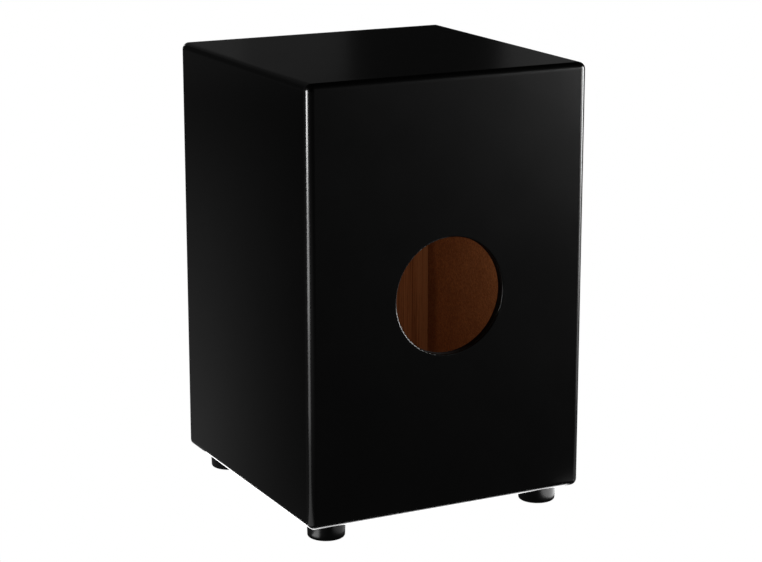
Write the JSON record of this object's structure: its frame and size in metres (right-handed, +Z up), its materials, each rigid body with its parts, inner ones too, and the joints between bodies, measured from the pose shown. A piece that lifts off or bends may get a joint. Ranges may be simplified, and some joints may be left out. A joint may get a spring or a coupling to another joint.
{
  "type": "cajon",
  "caption": "Box drum the player sits on: black lacquered body with a round sound hole in its back, thin plywood tapa in front, adjustable snares inside, rubber feet.",
  "frame": {"origin": "on the floor, at the centre of the footprint", "axes": "+Z up; -Y towards the tapa and the player's hands; +Y towards the sound hole; left is -X as seen from in front of the tapa"},
  "size_m": [0.3, 0.3, 0.45],
  "materials": {
    "black_lacquered_board": "semi-gloss black lacquer on fibreboard, raw fibreboard inside",
    "raw_softwood": "sawn, unfinished",
    "tapa_plywood": "satin veneer with black painted edges",
    "beech": "sanded",
    "black_nylon": "moulded, fine texture",
    "black_rubber": "moulded, slight sheen",
    "black_steel": "black oxide",
    "zinc_steel": "zinc plated",
    "snare_plate_steel": "stamped steel",
    "snare_wire_steel": "drawn wire, coiled"
  },
  "bodies": {
    "cajon": {"top_panel": "black_lacquered_board", "bottom_panel": "black_lacquered_board", "left_side_panel": "black_lacquered_board", "right_side_panel": "black_lacquered_board", "back_panel": "black_lacquered_board", "glue_block_top_left": "raw_softwood", "glue_block_top_right": "raw_softwood", "glue_block_bottom_left": "raw_softwood", "glue_block_bottom_right": "raw_softwood", "tapa": "tapa_plywood", "tapa_screws": "black_steel", "snare_bar_socket_left": "black_nylon", "snare_bar_socket_right": "black_nylon", "socket_screws": "zinc_steel", "foot_front_left": "black_rubber", "foot_front_right": "black_rubber", "foot_back_left": "black_rubber", "foot_back_right": "black_rubber", "foot_washers": "zinc_steel", "foot_screws": "zinc_steel"},
    "snares": {"snare_bar": "beech", "snare_plate_left": "snare_plate_steel", "snare_plate_right": "snare_plate_steel", "snare_plate_screws": "zinc_steel", "snare_strands_left": "snare_wire_steel", "snare_strands_right": "snare_wire_steel"},
    "left_corner_screw": {"corner_screw_left": "black_steel"},
    "right_corner_screw": {"corner_screw_right": "black_steel"}
  },
  "joints": [
    {"name": "snare_bar_turn", "type": "hinge", "parent": "cajon", "child": "snares", "pos_m": [0, -0.123, 0.272], "axis": [-1, 0, 0], "range_deg": [0, 12]},
    {"name": "left_corner_screw_out", "type": "slide", "parent": "cajon", "child": "left_corner_screw", "axis": [0, -1, 0], "range_m": [0, 0.002]},
    {"name": "right_corner_screw_out", "type": "slide", "parent": "cajon", "child": "right_corner_screw", "axis": [0, -1, 0], "range_m": [0, 0.002]}
  ]
}
